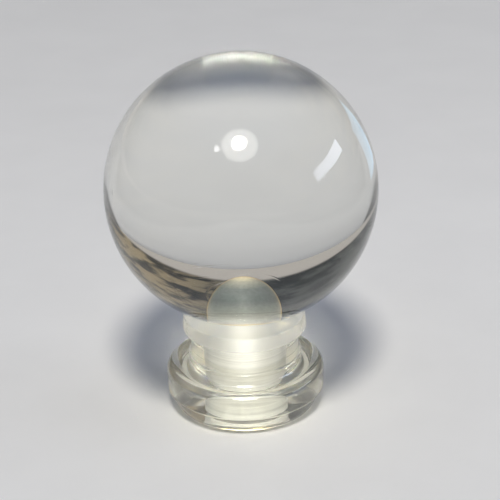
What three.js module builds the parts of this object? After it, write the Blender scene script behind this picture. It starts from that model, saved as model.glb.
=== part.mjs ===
// Crystal ball on a clear stand.
//
// A solid glass ball rests on a low raised seat on top of a stand built up from four clear pieces:
// collar, neck, foot and base disc. One satin pin stands in a bore that runs down through the
// stand, and its domed top reaches up into a blind socket in the ball.
//
// Millimetres, +Z up. The origin is the middle of the flat underside, on the axis of revolution.

import * as THREE from 'three';
import { mergeVertices } from 'three/addons/utils/BufferGeometryUtils.js';

// ---------- driving dimensions ----------

const BALL_RADIUS = 40;
const BALL_CENTRE = 70.3;

const PIN_FOOT_RADIUS = 7.4; // straight lower end
const PIN_HEAD_RADIUS = 6.3; // straight upper end, inside the ball
const PIN_TAPER_START = 20; // between these heights the pin tapers, and the stand's bore with it
const PIN_TAPER_END = 30;
const PIN_CLEARANCE = 0.3; // running gap round the pin, in the socket and in the stand's bore
const PIN_CHAMFER = 0.5;
const SOCKET_TOP = 52.8; // crown of the blind socket in the ball
const SOCKET_CROWN = 6.2; // height of its domed end
const SOCKET_CHAMFER = 0.5;

const BOND_LINE = 0.1; // clear adhesive between two glued faces of the stand

const BASE_RADIUS = 21.6;
const BASE_ROUND = 3.3; // rounded lower edge
const BASE_HEIGHT = 6;
const BASE_FLOOR = 1; // glass left under the blind bore

const FOOT_RADIUS = 23.7;
const FOOT_TOP = 16.1; // where the neck stands on the foot
const BEAD_CREST = 14; // top of the rounded bead round the foot's rim
const BEAD_ROUND = 2.4;
const BEAD_TURN = THREE.MathUtils.degToRad(140); // how far the bead turns over on its inner side
const COVE_ROUND = 3; // hollow between the bead and the root of the neck
const FOOT_BOTTOM_ROUND = 0.5;

const NECK_RADIUS = 16.4;
const NECK_WAIST = 16.1; // the neck is very slightly drawn in at half height
const NECK_RING_RADIUS = 17.1; // half-round ring at the root of the neck
const NECK_RING_HEIGHT = 1.6;

const COLLAR_BOTTOM = 25.8;
const COLLAR_TOP = 30.3;
const COLLAR_LOWER_RADIUS = 18.6;
const COLLAR_UPPER_RADIUS = 18.2;
const COLLAR_ROUND = 0.5;

const SEAT_FOOT_RADIUS = 14; // where the raised seat starts on the collar's top face
const SEAT_RIM_RADIUS = 10.5; // rim of the shallow dish that the ball rests in
const SEAT_CLEARANCE = 0.3; // gap between the ball and its dish

// ---------- how finely curves are divided ----------

const TURN_STEPS = 48; // divisible by 12, so coaxial facets line up at every 30 degrees of turn
const BALL_STEPS = 22;
const DISH_STEPS = 4;
const CROWN_STEPS = 5;
const ROUND_STEPS = 3;
const WAIST_STEPS = 4;

// ---------- derived dimensions ----------

const SOCKET_RADIUS = PIN_HEAD_RADIUS + PIN_CLEARANCE;
const PIN_BOTTOM = BASE_FLOOR + PIN_CLEARANCE;
const PIN_TOP = SOCKET_TOP - PIN_CLEARANCE;
const PIN_CROWN = SOCKET_CROWN - PIN_CLEARANCE;
const DISH_SPHERE = BALL_RADIUS + SEAT_CLEARANCE;

// ---------- profile helpers: every profile is a list of [radius, height] ----------

const HALF_TURN = Math.PI;
const QUARTER_TURN = Math.PI / 2;

/** Points on an arc about [r, z], from angle a0 to a1, measured up from the outward radius. */
function arc(r, z, radius, a0, a1, steps) {
  const points = [];
  for (let i = 0; i <= steps; i += 1) {
    const a = a0 + ((a1 - a0) * i) / steps;
    points.push([r + radius * Math.cos(a), z + radius * Math.sin(a)]);
  }
  return points;
}

/** Depth below a sphere's centre at which it has the given ring radius. */
function sphereDrop(sphereRadius, ringRadius) {
  return Math.sqrt(sphereRadius * sphereRadius - ringRadius * ringRadius);
}

/** A domed end from the wall radius up to its crown on the axis. */
function crown(wallRadius, topZ, height, steps) {
  const dome = (wallRadius * wallRadius + height * height) / (2 * height);
  const centreZ = topZ - dome;
  const startAngle = Math.asin((topZ - height - centreZ) / dome);
  const points = arc(0, centreZ, dome, startAngle, QUARTER_TURN, steps);
  points[points.length - 1][0] = 0;
  return points;
}

/** Radius of the stand's bore at a height. */
function boreRadius(z) {
  const t = (z - PIN_TAPER_START) / (PIN_TAPER_END - PIN_TAPER_START);
  const tapered = THREE.MathUtils.clamp(t, 0, 1);
  return THREE.MathUtils.lerp(PIN_FOOT_RADIUS, PIN_HEAD_RADIUS, tapered) + PIN_CLEARANCE;
}

/** The bore's wall going down from one height to another, with a point where its slope changes. */
function bore(fromZ, toZ) {
  const breaks = [PIN_TAPER_END, PIN_TAPER_START].filter((z) => z < fromZ && z > toZ);
  return [fromZ, ...breaks, toZ].map((z) => [boreRadius(z), z]);
}

/** Turns a profile about the Z axis. A profile off the axis closes on its first point. */
function turned(profile) {
  const first = profile[0];
  const last = profile[profile.length - 1];
  const onAxis = first[0] === 0 && last[0] === 0;
  const outline = onAxis ? profile : [...profile, first];
  const points = outline.map(([r, z]) => new THREE.Vector2(r, z));
  const lathe = new THREE.LatheGeometry(points, TURN_STEPS);
  lathe.rotateX(QUARTER_TURN);
  lathe.deleteAttribute('normal');
  lathe.deleteAttribute('uv');
  const merged = mergeVertices(lathe, 1e-4);
  return withoutSlivers(merged);
}

/** Drops the empty triangles a lathe leaves where its profile meets the axis. */
function withoutSlivers(geometry) {
  const index = geometry.getIndex().array;
  const kept = [];
  for (let i = 0; i < index.length; i += 3) {
    const [a, b, c] = [index[i], index[i + 1], index[i + 2]];
    if (a !== b && b !== c && c !== a) kept.push(a, b, c);
  }
  geometry.setIndex(kept);
  geometry.computeVertexNormals();
  return geometry;
}

// ---------- sub-parts ----------

function ballProfile() {
  const mouthZ = BALL_CENTRE - sphereDrop(BALL_RADIUS, SOCKET_RADIUS + SOCKET_CHAMFER);
  const startAngle = Math.asin((mouthZ - BALL_CENTRE) / BALL_RADIUS);
  const surface = arc(0, BALL_CENTRE, BALL_RADIUS, startAngle, QUARTER_TURN, BALL_STEPS);
  surface[surface.length - 1][0] = 0;
  const socket = crown(SOCKET_RADIUS, SOCKET_TOP, SOCKET_CROWN, CROWN_STEPS).reverse();
  return [...socket, [SOCKET_RADIUS, mouthZ + SOCKET_CHAMFER], ...surface];
}

function pinProfile() {
  return [
    [0, PIN_BOTTOM],
    [PIN_FOOT_RADIUS - PIN_CHAMFER, PIN_BOTTOM],
    [PIN_FOOT_RADIUS, PIN_BOTTOM + PIN_CHAMFER],
    [PIN_FOOT_RADIUS, PIN_TAPER_START],
    [PIN_HEAD_RADIUS, PIN_TAPER_END],
    ...crown(PIN_HEAD_RADIUS, PIN_TOP, PIN_CROWN, CROWN_STEPS),
  ];
}

function collarProfile() {
  const dishStart = -Math.acos(SEAT_RIM_RADIUS / DISH_SPHERE);
  const dishEnd = -Math.acos(SOCKET_RADIUS / DISH_SPHERE);
  const topRoundR = COLLAR_UPPER_RADIUS - COLLAR_ROUND;
  const bottomRoundR = COLLAR_LOWER_RADIUS - COLLAR_ROUND;
  const dish = arc(0, BALL_CENTRE, DISH_SPHERE, dishStart, dishEnd, DISH_STEPS);
  const dishBottomZ = dish.pop()[1];
  return [
    ...arc(bottomRoundR, COLLAR_BOTTOM + COLLAR_ROUND, COLLAR_ROUND, -QUARTER_TURN, 0, ROUND_STEPS),
    ...arc(topRoundR, COLLAR_TOP - COLLAR_ROUND, COLLAR_ROUND, 0, QUARTER_TURN, ROUND_STEPS),
    [SEAT_FOOT_RADIUS, COLLAR_TOP],
    ...dish,
    ...bore(dishBottomZ, COLLAR_BOTTOM),
  ];
}

function neckProfile() {
  const ringRadius = NECK_RING_HEIGHT / 2;
  const ringZ = FOOT_TOP + ringRadius;
  const ringR = NECK_RING_RADIUS - ringRadius;
  const bottom = FOOT_TOP;
  const top = COLLAR_BOTTOM - BOND_LINE;
  const waist = [];
  const waistStart = FOOT_TOP + NECK_RING_HEIGHT;
  for (let i = 0; i <= WAIST_STEPS; i += 1) {
    const t = i / WAIST_STEPS;
    const drawnIn = (NECK_RADIUS - NECK_WAIST) * Math.sin(HALF_TURN * t);
    waist.push([NECK_RADIUS - drawnIn, waistStart + (top - waistStart) * t]);
  }
  return [
    ...arc(ringR, ringZ, ringRadius, -QUARTER_TURN, QUARTER_TURN, 2 * ROUND_STEPS),
    ...waist,
    ...bore(top, bottom),
  ];
}

function footProfile() {
  const bottom = BASE_HEIGHT;
  const lowR = FOOT_RADIUS - FOOT_BOTTOM_ROUND;
  const beadR = FOOT_RADIUS - BEAD_ROUND;
  const top = FOOT_TOP - BOND_LINE;
  return [
    ...arc(lowR, bottom + FOOT_BOTTOM_ROUND, FOOT_BOTTOM_ROUND, -QUARTER_TURN, 0, ROUND_STEPS),
    ...arc(beadR, BEAD_CREST - BEAD_ROUND, BEAD_ROUND, 0, BEAD_TURN, 2 * ROUND_STEPS),
    ...arc(NECK_RADIUS + COVE_ROUND, top, COVE_ROUND, -QUARTER_TURN, -HALF_TURN, ROUND_STEPS),
    ...bore(top, bottom),
  ];
}

function baseProfile() {
  const top = BASE_HEIGHT - BOND_LINE;
  return [
    [0, 0],
    ...arc(BASE_RADIUS - BASE_ROUND, BASE_ROUND, BASE_ROUND, -QUARTER_TURN, 0, 2 * ROUND_STEPS),
    [BASE_RADIUS, top],
    ...bore(top, BASE_FLOOR),
    [0, BASE_FLOOR],
  ];
}

// ---------- materials ----------

function clearGlass(color) {
  const finish = { color, roughness: 0.03, metalness: 0, transparent: true, opacity: 0.4 };
  return new THREE.MeshStandardMaterial(finish);
}

function satinGlass() {
  return new THREE.MeshStandardMaterial({ color: 0xb9c0c9, roughness: 0.55, metalness: 0 });
}

// ---------- assembly ----------

const crystalBall = new THREE.Group();

function addPart(name, profile, material) {
  const mesh = new THREE.Mesh(turned(profile), material);
  mesh.name = name;
  crystalBall.add(mesh);
}

addPart('ball', ballProfile(), clearGlass(0xdcdedb));
addPart('centre_pin', pinProfile(), satinGlass());
addPart('collar', collarProfile(), clearGlass(0xf4f2ea));
addPart('neck', neckProfile(), clearGlass(0xf1eee4));
addPart('foot', footProfile(), clearGlass(0xefece2));
addPart('base_disc', baseProfile(), clearGlass(0xe6e4dc));

export default crystalBall;
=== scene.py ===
import math

import bpy
from mathutils import Matrix, Vector


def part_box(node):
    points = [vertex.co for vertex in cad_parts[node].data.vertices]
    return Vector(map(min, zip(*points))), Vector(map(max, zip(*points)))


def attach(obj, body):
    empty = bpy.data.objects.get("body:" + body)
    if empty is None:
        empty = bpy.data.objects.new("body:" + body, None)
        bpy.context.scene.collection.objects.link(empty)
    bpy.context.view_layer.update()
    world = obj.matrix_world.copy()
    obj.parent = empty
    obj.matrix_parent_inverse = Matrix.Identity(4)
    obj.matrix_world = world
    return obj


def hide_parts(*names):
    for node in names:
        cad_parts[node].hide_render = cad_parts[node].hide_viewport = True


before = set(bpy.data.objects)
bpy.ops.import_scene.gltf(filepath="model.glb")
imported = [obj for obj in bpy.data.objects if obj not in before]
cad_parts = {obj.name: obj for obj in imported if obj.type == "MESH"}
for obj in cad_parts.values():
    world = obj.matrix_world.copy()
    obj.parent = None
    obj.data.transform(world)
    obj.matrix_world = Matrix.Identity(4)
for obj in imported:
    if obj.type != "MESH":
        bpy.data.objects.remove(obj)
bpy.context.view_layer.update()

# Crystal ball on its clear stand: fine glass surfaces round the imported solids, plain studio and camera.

MM = 0.001
QUARTER_TURN = math.pi / 2

# ---------- how finely the turned surfaces are divided ----------

TURN_STEPS = 192
BALL_STEPS = 120
CROWN_STEPS = 20
FILLET_STEPS = 6
SHARP_ANGLE = math.radians(32)

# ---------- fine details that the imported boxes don't give ----------

RUNNING_GAP = 0.3 * MM  # between the pin and the bores it stands in
PIN_HEAD_RADIUS = 6.3 * MM
TAPER_START = 20 * MM  # between these heights the pin and the stand's bore taper
TAPER_END = 30 * MM
SOCKET_CROWN = 6.2 * MM
SOCKET_CHAMFER = 0.5 * MM
PIN_CHAMFER = 0.5 * MM
BASE_FLOOR = 1 * MM
BASE_ROUND = 3.3 * MM
FOOT_BOTTOM_ROUND = 0.5 * MM
BEAD_ROUND = 2.4 * MM
BEAD_TURN = math.radians(140)  # how far the foot's bead turns over on its inner side
BEAD_DROP = 2 * MM  # from the foot's top face down to the crest of its bead
COVE_ROUND = 3 * MM  # hollow between the bead and the root of the neck
NECK_SLIM = 0.7 * MM  # the neck's radius is this much less than its root ring's
NECK_WAIST = 0.3 * MM
NECK_RING = 1.6 * MM
COLLAR_TAPER = 0.4 * MM
COLLAR_ROUND = 0.5 * MM
SEAT_FOOT_RADIUS = 14 * MM
SEAT_RIM_RADIUS = 10.5 * MM
SEAT_RISE = 1.09 * MM  # rim of the seat above the collar's top face
GLASS_IOR = 1.5

# ---------- places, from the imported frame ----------


def span(node):
    """Radius, lowest and highest Z of a node that is round about the Z axis."""
    low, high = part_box(node)
    return (high[0] - low[0]) / 2, low[2], high[2]


BALL_RADIUS, _, BALL_TOP = span("ball")
PIN_FOOT_RADIUS, PIN_BOTTOM, PIN_TOP = span("centre_pin")
COLLAR_RADIUS, COLLAR_BOTTOM, SEAT_TOP = span("collar")
NECK_RING_RADIUS, NECK_BOTTOM, NECK_TOP = span("neck")
FOOT_RADIUS, FOOT_BOTTOM, FOOT_TOP = span("foot")
BASE_RADIUS, BASE_BOTTOM, BASE_TOP = span("base_disc")

BALL_CENTRE = BALL_TOP - BALL_RADIUS
SOCKET_RADIUS = PIN_HEAD_RADIUS + RUNNING_GAP
NECK_RADIUS = NECK_RING_RADIUS - NECK_SLIM

# ---------- profiles: lists of (radius, height, surface) ----------
# The surface says what the stretch from this point to the next one is made of.

POLISHED, GROUND, BOND = 0, 1, 2


def arc(radius, height, size, start, end, steps, surface=POLISHED):
    """Points on an arc about (radius, height), with angles measured up from the outward radius."""
    turns = [start + (end - start) * i / steps for i in range(steps + 1)]
    return [(radius + size * math.cos(a), height + size * math.sin(a), surface) for a in turns]


def crown(wall_radius, top, rise, surface):
    """A domed end from the wall radius up to its crown on the axis."""
    dome = (wall_radius**2 + rise**2) / (2 * rise)
    start = math.asin((dome - rise) / dome)
    points = arc(0, top - dome, dome, start, QUARTER_TURN, CROWN_STEPS, surface)
    points[-1] = (0, top, surface)
    return points


def bore_radius(height):
    """Radius of the stand's bore at a height."""
    t = min(max((height - TAPER_START) / (TAPER_END - TAPER_START), 0), 1)
    return PIN_FOOT_RADIUS + (PIN_HEAD_RADIUS - PIN_FOOT_RADIUS) * t + RUNNING_GAP


def bore(top, bottom, end=BOND):
    """The bore's wall going down, with a point where its slope changes."""
    breaks = [h for h in (TAPER_END, TAPER_START) if bottom < h < top]
    wall = [(bore_radius(h), h, GROUND) for h in [top, *breaks]]
    return wall + [(bore_radius(bottom), bottom, end)]


def ball_profile():
    mouth = SOCKET_RADIUS + SOCKET_CHAMFER
    mouth_height = BALL_CENTRE - math.sqrt(BALL_RADIUS**2 - mouth**2)
    start = math.asin((mouth_height - BALL_CENTRE) / BALL_RADIUS)
    socket = crown(SOCKET_RADIUS, PIN_TOP + RUNNING_GAP, SOCKET_CROWN, GROUND)[::-1]
    surface = arc(0, BALL_CENTRE, BALL_RADIUS, start, QUARTER_TURN, BALL_STEPS)
    surface[-1] = (0, BALL_TOP, POLISHED)
    return socket + [(SOCKET_RADIUS, mouth_height + SOCKET_CHAMFER, GROUND)] + surface


def pin_profile():
    return [
        (0, PIN_BOTTOM, POLISHED),
        (PIN_FOOT_RADIUS - PIN_CHAMFER, PIN_BOTTOM, POLISHED),
        (PIN_FOOT_RADIUS, PIN_BOTTOM + PIN_CHAMFER, POLISHED),
        (PIN_FOOT_RADIUS, TAPER_START, POLISHED),
        (PIN_HEAD_RADIUS, TAPER_END, POLISHED),
    ] + crown(PIN_HEAD_RADIUS, PIN_TOP, SOCKET_CROWN - RUNNING_GAP, POLISHED)


def collar_profile():
    dish = BALL_RADIUS + RUNNING_GAP
    start = -math.acos(SEAT_RIM_RADIUS / dish)
    end = -math.acos(SOCKET_RADIUS / dish)
    face = SEAT_TOP - SEAT_RISE
    upper = COLLAR_RADIUS - COLLAR_TAPER - COLLAR_ROUND
    lower = COLLAR_RADIUS - COLLAR_ROUND
    seat = arc(0, BALL_CENTRE, dish, start, end, CROWN_STEPS)
    dish_bottom = seat.pop()[1]
    return (
        arc(lower, COLLAR_BOTTOM + COLLAR_ROUND, COLLAR_ROUND, -QUARTER_TURN, 0, FILLET_STEPS)
        + arc(upper, face - COLLAR_ROUND, COLLAR_ROUND, 0, QUARTER_TURN, FILLET_STEPS)
        + [(SEAT_FOOT_RADIUS, face, POLISHED)]
        + seat
        + bore(dish_bottom, COLLAR_BOTTOM)
    )


def neck_profile():
    ring = NECK_RING / 2
    waist_start = NECK_BOTTOM + NECK_RING
    waist = []
    for i in range(CROWN_STEPS + 1):
        t = i / CROWN_STEPS
        radius = NECK_RADIUS - NECK_WAIST * math.sin(math.pi * t)
        waist.append((radius, waist_start + (NECK_TOP - waist_start) * t, POLISHED))
    waist[-1] = (*waist[-1][:2], BOND)
    ring_middle = NECK_RING_RADIUS - ring
    ring_height = NECK_BOTTOM + ring
    root = arc(ring_middle, ring_height, ring, -QUARTER_TURN, QUARTER_TURN, 2 * FILLET_STEPS)
    return root + waist + bore(NECK_TOP, NECK_BOTTOM)


def foot_profile():
    low = FOOT_RADIUS - FOOT_BOTTOM_ROUND
    bead = FOOT_RADIUS - BEAD_ROUND
    bead_middle = FOOT_TOP - BEAD_DROP - BEAD_ROUND
    cove_middle = NECK_RADIUS + COVE_ROUND
    cove = arc(cove_middle, FOOT_TOP, COVE_ROUND, -QUARTER_TURN, -2 * QUARTER_TURN, CROWN_STEPS)
    cove[-1] = (NECK_RADIUS, FOOT_TOP, BOND)
    return (
        arc(low, FOOT_BOTTOM + FOOT_BOTTOM_ROUND, FOOT_BOTTOM_ROUND, -QUARTER_TURN, 0, FILLET_STEPS)
        + arc(bead, bead_middle, BEAD_ROUND, 0, BEAD_TURN, 3 * FILLET_STEPS)
        + cove
        + bore(FOOT_TOP, FOOT_BOTTOM)
    )


def base_profile():
    inner = BASE_RADIUS - BASE_ROUND
    return (
        [(0, BASE_BOTTOM, POLISHED)]
        + arc(inner, BASE_BOTTOM + BASE_ROUND, BASE_ROUND, -QUARTER_TURN, 0, 2 * FILLET_STEPS)
        + [(BASE_RADIUS, BASE_TOP, BOND)]
        + bore(BASE_TOP, BASE_FLOOR, GROUND)
        + [(0, BASE_FLOOR, GROUND)]
    )


# ---------- turning a profile into a mesh ----------


def ring_points(profile):
    """Vertices of a turned profile, and the vertex numbers of each of its rings."""
    vertices, rings = [], []
    for radius, height, _ in profile:
        start = len(vertices)
        if radius == 0:
            vertices.append((0, 0, height))
            rings.append([start] * TURN_STEPS)
            continue
        for i in range(TURN_STEPS):
            a = 2 * math.pi * i / TURN_STEPS
            vertices.append((radius * math.cos(a), radius * math.sin(a), height))
        rings.append(list(range(start, start + TURN_STEPS)))
    return vertices, rings


def ring_faces(profile, rings):
    """Faces between neighbouring rings, and the surface of each face."""
    on_axis = profile[0][0] == 0 and profile[-1][0] == 0
    stretches = len(profile) - 1 if on_axis else len(profile)
    faces, surfaces = [], []
    for j in range(stretches):
        low, high = rings[j], rings[(j + 1) % len(rings)]
        for i in range(TURN_STEPS):
            k = (i + 1) % TURN_STEPS
            corners = [low[i], low[k], high[k], high[i]]
            faces.append(list(dict.fromkeys(corners)))
            surfaces.append(profile[j][2])
    return faces, surfaces


def turned(name, profile, materials):
    """A closed surface of revolution about Z. A profile off the axis closes on its first point."""
    vertices, rings = ring_points(profile)
    faces, surfaces = ring_faces(profile, rings)
    mesh = bpy.data.meshes.new(name)
    mesh.from_pydata(vertices, [], faces)
    for material in materials:
        mesh.materials.append(material)
    mesh.polygons.foreach_set("material_index", surfaces)
    mesh.shade_smooth()
    mesh.set_sharp_from_angle(angle=SHARP_ANGLE)
    mesh.validate()
    piece = bpy.data.objects.new(name, mesh)
    bpy.context.scene.collection.objects.link(piece)
    return piece


# ---------- materials ----------


class Nodes:
    """Short ways to add and join nodes in one node tree."""

    def __init__(self, tree):
        self.tree = tree

    def feed(self, node, inputs):
        """Joins sockets to a node's inputs, and sets the inputs that are given as values."""
        for key, value in inputs.items():
            if isinstance(value, bpy.types.NodeSocket):
                self.tree.links.new(value, node.inputs[key])
            else:
                node.inputs[key].default_value = value

    def add(self, kind, inputs, **settings):
        node = self.tree.nodes.new(kind)
        for key, value in settings.items():
            setattr(node, key, value)
        self.feed(node, inputs)
        return node

    def math(self, operation, *values):
        return self.add("ShaderNodeMath", dict(enumerate(values)), operation=operation).outputs[0]

    def ramp(self, value, low, high, out_low=0.0, out_high=1.0, **settings):
        inputs = {0: value, 1: low, 2: high, 3: out_low, 4: out_high}
        return self.add("ShaderNodeMapRange", inputs, **settings).outputs[0]

    def mix(self, factor, first, second, **settings):
        inputs = {0: factor, 6: first, 7: second}
        return self.add("ShaderNodeMix", inputs, data_type="RGBA", **settings).outputs[2]

    def noise(self, vector, scale, detail):
        inputs = {"Vector": vector, "Scale": scale, "Detail": detail}
        return self.add("ShaderNodeTexNoise", inputs).outputs[0]

    def bump(self, height, strength, distance):
        inputs = {"Height": height, "Strength": strength, "Distance": distance}
        return self.add("ShaderNodeBump", inputs).outputs[0]

    def place(self, source="Object", scale=(1, 1, 1), turn=(0, 0, 0)):
        """Coordinates, scaled and turned."""
        coordinates = self.add("ShaderNodeTexCoord", {}).outputs[source]
        inputs = {"Vector": coordinates, "Scale": scale, "Rotation": turn}
        return self.add("ShaderNodeMapping", inputs).outputs[0]

    def split(self, vector):
        return self.add("ShaderNodeSeparateXYZ", {0: vector}).outputs


class MaterialNodes(Nodes):
    """The nodes of a new material."""

    def __init__(self, name):
        self.material = bpy.data.materials.new(name)
        self.material.use_nodes = True
        super().__init__(self.material.node_tree)
        self.shader = self.tree.nodes["Principled BSDF"]
        self.output = self.tree.nodes["Material Output"]


def scratches(nodes, along, across, turn, width, cover):
    """Fine straight hairlines: thin level lines of a noise that is stretched one way."""
    stretched = nodes.noise(nodes.place(scale=(along, across, across), turn=turn), 1.0, 1.0)
    off_line = nodes.math("ABSOLUTE", nodes.math("SUBTRACT", stretched, 0.5))
    line = nodes.ramp(off_line, 0.0, width, 1.0, 0.0)
    patch = nodes.noise(nodes.place(), 60.0, 2.0)
    return nodes.math("MULTIPLY", line, nodes.ramp(patch, cover, cover + 0.1))


def handling_marks(nodes):
    """Hairlines in two directions and specks of dust, from 0 to 1."""
    first = scratches(nodes, along=25, across=900, turn=(0.4, 0.9, 0.2), width=0.012, cover=0.56)
    second = scratches(nodes, along=30, across=1100, turn=(1.3, 0.2, 1.1), width=0.010, cover=0.60)
    lines = nodes.math("MAXIMUM", first, second)
    dust = nodes.add("ShaderNodeTexVoronoi", {"Vector": nodes.place(), "Scale": 420.0})
    specks = nodes.ramp(dust.outputs["Distance"], 0.05, 0.09, 1.0, 0.0)
    return nodes.math("MAXIMUM", lines, specks)


def polished_glass(name, tint, absorb, density, clear=1.0):
    """Polished glass with faint marks of handling. The share that isn't clear is diffuse."""
    nodes = MaterialNodes(name)
    marks = handling_marks(nodes)
    finish = {
        "Base Color": (*tint, 1),
        "Transmission Weight": clear,
        "IOR": GLASS_IOR,
        "Roughness": nodes.ramp(marks, 0, 1, 0.0, MARK_ROUGHNESS),
        "Normal": nodes.bump(marks, 0.25, MARK_DEPTH),
    }
    nodes.feed(nodes.shader, finish)
    volume = nodes.add("ShaderNodeVolumeAbsorption", {"Color": (*absorb, 1), "Density": density})
    nodes.feed(nodes.output, {"Volume": volume.outputs[0]})
    return nodes.material


def tool_rings(nodes):
    """The rings that a drill leaves round the Z axis, as a height from 0 to 1."""
    fine = nodes.noise(nodes.place(scale=FINE_RINGS), 1.0, 3.0)
    coarse = nodes.noise(nodes.place(scale=COARSE_RINGS), 1.0, 2.0)
    return nodes.math("ADD", nodes.math("MULTIPLY", fine, 0.4), nodes.math("MULTIPLY", coarse, 0.6))


def colour_ramp(nodes, factor, stops):
    """A colour that goes through (position, colour) stops."""
    ramp = nodes.add("ShaderNodeValToRGB", {0: factor})
    elements = ramp.color_ramp.elements
    while len(elements) < len(stops):
        elements.new(0.5)
    for element, (position, colour) in zip(elements, stops):
        element.position = position
        element.color = (*colour, 1)
    return ramp.outputs[0]


def painted_by_height(nodes, colour, painted_bands):
    """A colour multiplied by painted highlight and shade that go with height."""
    if not painted_bands:
        return colour
    low, high = painted_bands[0][0], painted_bands[-1][0]
    height = nodes.split(nodes.place())[2]
    stops = [((level - low) / (high - low), tone) for level, tone in painted_bands]
    painted_tones = colour_ramp(nodes, nodes.ramp(height, low, high), stops)
    return nodes.mix(1.0, colour, painted_tones, blend_type="MULTIPLY")


def satin_wall(name, low, high, glow, grain_share, sheen=0.4, painted_bands=()):
    """The satin wall that a drill leaves in glass: rings, fine specks and a grazing sheen.

    Low and high are the colours of its valleys and crests, and glow is the sheen's colour. Painted
    bands are (height, colour) pairs: painted highlight, rim light and shade that change with height.
    """
    nodes = MaterialNodes(name)
    rings = nodes.math("MULTIPLY", tool_rings(nodes), 1 - grain_share)
    grain = nodes.math("MULTIPLY", nodes.noise(nodes.place(), GRAIN_SCALE, 2.0), grain_share)
    level = nodes.math("ADD", rings, grain)
    colour = colour_ramp(nodes, level, ((0.36, low), (0.64, high)))
    finish = {
        "Base Color": painted_by_height(nodes, colour, painted_bands),
        "Roughness": nodes.ramp(level, 0.3, 0.7, *SATIN_ROUGHNESS),
        "Normal": nodes.bump(level, 0.5, SATIN_DEPTH),
        "Sheen Weight": sheen,
        "Sheen Roughness": 0.25,
        "Sheen Tint": (*glow, 1),
    }
    nodes.feed(nodes.shader, finish)
    return nodes.material


def clear_bond():
    """Water-clear adhesive: glued faces let light straight through."""
    nodes = MaterialNodes("clear_bond")
    clear = nodes.add("ShaderNodeBsdfTransparent", {"Color": (0.985, 0.985, 0.97, 1)})
    nodes.feed(nodes.output, {"Surface": clear.outputs[0]})
    return nodes.material


def stand_glass(name, clear):
    """The stand's glass. Its share that isn't clear looks whitish, as the light gathered in it does."""
    return polished_glass(name, (0.995, 0.993, 0.985), (0.97, 0.96, 0.91), 2.0, clear=clear)


MARK_ROUGHNESS = 0.16  # roughness in a hairline or under a speck of dust
MARK_DEPTH = 0.02 * MM
FINE_RINGS = (30, 30, 2600)  # noise cells per metre: much finer along the axis than round it
COARSE_RINGS = (8, 8, 500)
GRAIN_SCALE = 1500.0
SATIN_ROUGHNESS = (0.55, 0.4)  # in its valleys and on its crests
SATIN_DEPTH = 0.06 * MM

# Painted light and shade by height: golden rim light, a pale band, a shaded dome and a highlight at its top.
PAINTED_GOLD_RIM = (1.0, 0.72, 0.32)
SOCKET_PAINTED_LIGHT = (
    (40.2 * MM, (0.86, 0.85, 0.78)),
    (40.8 * MM, PAINTED_GOLD_RIM),
    (41.8 * MM, PAINTED_GOLD_RIM),
    (42.6 * MM, (1.0, 0.97, 0.86)),
    (43.7 * MM, (0.9, 0.92, 0.86)),
    (46 * MM, (0.40, 0.42, 0.37)),
    (49 * MM, (0.17, 0.20, 0.19)),
    (51.2 * MM, (0.23, 0.26, 0.24)),
    (52.3 * MM, (0.52, 0.50, 0.40)),
    (52.8 * MM, (1.0, 0.91, 0.62)),
)

BALL_GLASS = polished_glass("ball_glass", (1.0, 1.0, 0.965), (0.88, 0.9, 0.86), 1.5)
FOOT_GLASS = stand_glass("stand_glass", clear=0.97)
NECK_GLASS = stand_glass("neck_glass", clear=0.9)
COLLAR_GLASS = stand_glass("collar_glass", clear=0.7)
# The socket wall's colour carries the painted light and shade bands above.
SOCKET_WALL = satin_wall(
    "socket_wall",
    low=(0.75, 0.75, 0.75),
    high=(1.0, 1.0, 1.0),
    glow=(1.0, 0.62, 0.16),
    grain_share=0.5,
    sheen=1.0,
    painted_bands=SOCKET_PAINTED_LIGHT,
)
BORE_WALL = satin_wall(
    "bore_wall", low=(0.6, 0.6, 0.54), high=(0.97, 0.97, 0.9), glow=(1.0, 0.97, 0.85), grain_share=0.1
)
SATIN_PIN = satin_wall(
    "satin_pin", low=(0.5, 0.52, 0.53), high=(0.74, 0.76, 0.76), glow=(0.9, 0.95, 1.0), grain_share=0.3
)
CLEAR_BOND = clear_bond()

# ---------- pieces ----------


def place(name, node, profile, materials, body):
    """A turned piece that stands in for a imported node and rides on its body."""
    piece = turned(name, profile, materials)
    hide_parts(node)
    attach(piece, body)
    return piece


COLLAR = [COLLAR_GLASS, BORE_WALL, CLEAR_BOND]
NECK = [NECK_GLASS, BORE_WALL, CLEAR_BOND]
LOWER_STAND = [FOOT_GLASS, BORE_WALL, CLEAR_BOND]
ball_piece = place("ball_body", "ball", ball_profile(), [BALL_GLASS, SOCKET_WALL], "ball")
stand_pieces = [
    place("centre_pin_satin", "centre_pin", pin_profile(), [SATIN_PIN], "pin"),
    place("collar_glass", "collar", collar_profile(), COLLAR, "stand"),
    place("neck_glass", "neck", neck_profile(), NECK, "stand"),
    place("foot_glass", "foot", foot_profile(), LOWER_STAND, "stand"),
    place("base_disc_glass", "base_disc", base_profile(), LOWER_STAND, "stand"),
]

# ---------- floor ----------

FLOOR_HALF = 3.0
FLOOR_DROP = 0.2 * MM  # keeps the floor clear of the object's underside
FLOOR_ROUGHNESS = 0.7
FLOOR_DARK = (0.10, 0.10, 0.095, 1)
FLOOR_PALE = (0.83, 0.83, 0.82, 1)
PALE_STRIP = 0.25  # half the width of the pale sheet that the object stands on
STRIP_FADE = 0.08
STRIP_FLARE = 1.1  # the sheet widens by this much of the way back
STRIP_FLARE_START = 0.15
FAR_START = 0.12  # painted shade: the sheet is a little darker further back, as the lamps' light falls off
FAR_END = 0.45
FAR_PAINTED_SHADE = 0.87


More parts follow.
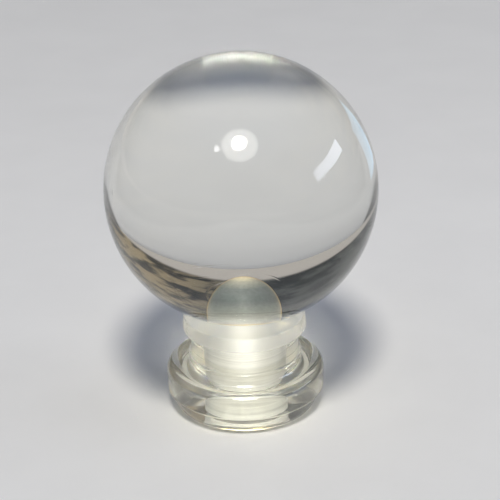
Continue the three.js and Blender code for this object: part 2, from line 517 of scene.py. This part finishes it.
def floor_material():
    """A pale mottled sheet on a dark floor, with painted shade further back."""
    nodes = MaterialNodes("studio_floor")
    across, back, _ = nodes.split(nodes.place())
    flare = nodes.ramp(back, STRIP_FLARE_START, FLOOR_HALF, 0.0, FLOOR_HALF * STRIP_FLARE)
    off = nodes.math("SUBTRACT", nodes.math("ABSOLUTE", across), flare)
    pale = nodes.ramp(off, PALE_STRIP, PALE_STRIP + STRIP_FADE, 1.0, 0.0)
    mottle = nodes.ramp(nodes.noise(nodes.place(), 35.0, 4.0), 0.3, 0.7, 0.97, 1.0)
    # painted shade: darker further back, where the lamps' light falls off
    painted_falloff = nodes.ramp(back, FAR_START, FAR_END, 1.0, FAR_PAINTED_SHADE)
    mottle_and_painted_falloff = nodes.math("MULTIPLY", mottle, painted_falloff)
    grey = nodes.add("ShaderNodeCombineColor", {0: mottle_and_painted_falloff, 1: mottle_and_painted_falloff, 2: mottle_and_painted_falloff}).outputs[0]
    colour = nodes.mix(1.0, nodes.mix(pale, FLOOR_DARK, FLOOR_PALE), grey, blend_type="MULTIPLY")
    nodes.feed(nodes.shader, {"Base Color": colour, "Roughness": FLOOR_ROUGHNESS})
    return nodes.material


def studio_floor():
    mesh = bpy.data.meshes.new("studio_floor")
    corners = [(x * FLOOR_HALF, y * FLOOR_HALF, 0) for x, y in ((-1, -1), (1, -1), (1, 1), (-1, 1))]
    mesh.from_pydata(corners, [], [(0, 1, 2, 3)])
    mesh.materials.append(floor_material())
    floor = bpy.data.objects.new("studio_floor", mesh)
    bpy.context.scene.collection.objects.link(floor)
    floor.location.z = -FLOOR_DROP
    return floor


# ---------- room ----------

ROOM_STREAKS = (3.0, 3.0, 11.0)  # the walls' streaks are level: finer in height than across
COOL_DARK = (0.008, 0.010, 0.009, 1)
COOL_LIGHT = (0.055, 0.06, 0.056, 1)
WARM_DARK = (0.012, 0.011, 0.008, 1)
WARM_LIGHT = (0.27, 0.215, 0.13, 1)
OVERHEAD = (0.15, 0.21, 0.38, 1)
LOW_BAND = (0.42, 0.39, 0.365, 1)
LOW_BAND_EDGE = (0.062, 0.088)  # the band fades out between these heights on the unit sphere
LOW_BAND_LEAN = 0.03
LOW_BAND_BOW = 0.1


def room():
    """The room round the studio: a pale low band, dark streaked walls and a bluish ceiling."""
    world = bpy.data.worlds.new("room")
    bpy.context.scene.world = world
    world.use_nodes = True
    nodes = Nodes(world.node_tree)

    def fade(value, low, high, out_low=0.0, out_high=1.0):
        return nodes.ramp(value, low, high, out_low, out_high, interpolation_type="SMOOTHSTEP")

    side, _, up = nodes.split(nodes.place("Generated"))
    streaks = fade(nodes.noise(nodes.place("Generated", ROOM_STREAKS), 1.6, 3.0), 0.42, 0.6)
    cool_wall = nodes.mix(streaks, COOL_DARK, COOL_LIGHT)
    warm_wall = nodes.mix(streaks, WARM_DARK, WARM_LIGHT)
    wall = nodes.mix(fade(side, -0.2, 0.6), cool_wall, warm_wall)
    above_band = nodes.mix(fade(up, 0.55, 0.95), wall, OVERHEAD)
    leaning = nodes.math("MULTIPLY_ADD", side, LOW_BAND_LEAN, up)
    height = nodes.math("MULTIPLY_ADD", nodes.math("MULTIPLY", side, side), LOW_BAND_BOW, leaning)
    colour = nodes.mix(fade(height, *LOW_BAND_EDGE, 1.0, 0.0), above_band, LOW_BAND)
    nodes.feed(world.node_tree.nodes["Background"], {0: colour})


# ---------- lamps ----------

BALL_MIDDLE = Vector((0, 0, BALL_CENTRE))
GATHERED_LIGHT = (1.0, 0.985, 0.93)


def direction(azimuth, elevation):
    """A unit vector: azimuth 0 is away from the camera, 90 is to the right."""
    a, e = math.radians(azimuth), math.radians(elevation)
    return Vector((math.sin(a) * math.cos(e), math.cos(a) * math.cos(e), math.sin(e)))


def lamp(name, azimuth, elevation, distance, size, radiance, colour, height=None, spread=180):
    """An area lamp that faces the ball: a disc, or a rectangle if it has a height.

    Its brightness is given as radiance, and the spread of its beam in degrees.
    """
    data = bpy.data.lights.new(name, "AREA")
    data.shape = "RECTANGLE" if height else "DISK"
    data.size = size
    area = math.pi * size**2 / 4
    if height:
        data.size_y = height
        area = size * height
    data.energy = radiance * area * math.pi
    data.spread = math.radians(spread)
    data.color = colour
    holder = bpy.data.objects.new(name, data)
    bpy.context.scene.collection.objects.link(holder)
    holder.location = BALL_MIDDLE + direction(azimuth, elevation) * distance
    holder.rotation_mode = "QUATERNION"
    holder.rotation_quaternion = direction(azimuth, elevation).to_track_quat("Z", "Y")
    return holder


def hide_from(holder, *rays):
    """Hides a lamp from kinds of ray, so that it makes no ghost of itself."""
    for ray in rays:
        setattr(holder, f"visible_{ray}", False)


def reach_only(holder, pieces):
    """Lets a lamp light these pieces alone, straight through whatever stands in its way."""
    reached = bpy.data.collections.new(f"lit_by_{holder.name}")
    for piece in pieces:
        reached.objects.link(piece)
    holder.light_linking.receiver_collection = reached
    holder.data.use_shadow = False
    hide_from(holder, "camera")


def studio_lamps():
    """The key lamp with a pale dish round it, a spark beside it, and a window on the right."""
    lamp("key_lamp", 181, 62, distance=8.0, size=1.6, radiance=72, colour=(1.0, 0.96, 0.88))
    for name, distance, size, radiance in (("key_dish", 8.1, 3.6, 1.4), ("key_dish_rim", 8.2, 4.15, 3.6)):
        dish = lamp(name, 180, 60, distance, size, radiance, colour=(1.0, 0.99, 0.93))
        hide_from(dish, "diffuse", "transmission")
    lamp("spark", -149, 54, distance=1.2, size=0.09, radiance=12, colour=(1.0, 1.0, 1.0))
    window = lamp("window", 92, 18, distance=1.6, size=1.1, radiance=6, colour=(0.82, 0.88, 1.0), height=0.22)
    hide_from(window, "transmission")


def stand_lamps(pieces):
    """The ball gathers the key lamp onto its own stand. These lamps reach only the stand, for that light."""
    front = lamp("gathered_front", 182, 44, distance=1.0, size=0.5, radiance=8.5, colour=GATHERED_LIGHT)
    over = lamp("gathered_over", 180, 80, distance=1.0, size=1.4, radiance=2.4, colour=(0.96, 0.985, 1.0))
    band = lamp(
        "gathered_band",
        180,
        44,
        distance=0.3,
        size=0.004,
        radiance=1.3,
        colour=GATHERED_LIGHT,
        height=0.09,
        spread=2.2,
    )
    for holder in (front, over, band):
        reach_only(holder, pieces)


def floor_lamp(floor):
    """The same light on the floor behind the stand, which the ball's top edge shows."""
    beam = lamp(
        "gathered_floor",
        179,
        61,
        distance=0.2,
        size=0.024,
        radiance=4.6,
        colour=(1.0, 0.975, 0.88),
        height=0.009,
        spread=4,
    )
    reach_only(beam, [floor])


def ball_lamps(ball):
    """The same light on the ball's ground socket, and the window's glint low on its right side."""
    for turn in (-60, 60):
        socket = lamp(
            f"gathered_socket_{turn}",
            180 + turn,
            25,
            distance=1.0,
            size=1.0,
            radiance=2.6,
            colour=GATHERED_LIGHT,
        )
        reach_only(socket, [ball])
        hide_from(socket, "glossy", "transmission")
    glint = lamp(
        "glint",
        44,
        -2,
        distance=0.2,
        size=0.07,
        radiance=1.1,
        colour=(0.45, 0.75, 1.0),
        height=0.08,
    )
    reach_only(glint, [ball])
    hide_from(glint, "transmission")


# ---------- camera ----------

CAMERA_DISTANCE = 15 * BALL_RADIUS
CAMERA_ELEVATION = 24.4
CAMERA_ROLL = -1.37
CAMERA_LENS = 148.5
CAMERA_SENSOR = 36
AIM = Vector((2.2 * MM, 0, BALL_CENTRE - 19.9 * MM))


def camera():
    data = bpy.data.cameras.new("camera")
    data.sensor_width = CAMERA_SENSOR
    data.lens = CAMERA_LENS
    data.clip_start = 0.01
    holder = bpy.data.objects.new("camera", data)
    bpy.context.scene.collection.objects.link(holder)
    location = BALL_MIDDLE + direction(180, CAMERA_ELEVATION) * CAMERA_DISTANCE
    look = (AIM - location).to_track_quat("-Z", "Y")
    roll = Matrix.Rotation(math.radians(CAMERA_ROLL), 4, "Z")
    holder.matrix_world = Matrix.Translation(location) @ look.to_matrix().to_4x4() @ roll
    bpy.context.scene.camera = holder


# ---------- scene ----------

BOUNCES = 24  # light crosses many faces in the nested glass of the stand


def light_paths():
    cycles = bpy.context.scene.cycles
    cycles.max_bounces = BOUNCES
    cycles.transmission_bounces = BOUNCES
    cycles.transparent_max_bounces = BOUNCES
    cycles.sample_clamp_indirect = 0


floor_piece = studio_floor()
room()
studio_lamps()
stand_lamps(stand_pieces)
floor_lamp(floor_piece)
ball_lamps(ball_piece)
camera()
light_paths()
bpy.context.scene.view_settings.view_transform = "Standard"
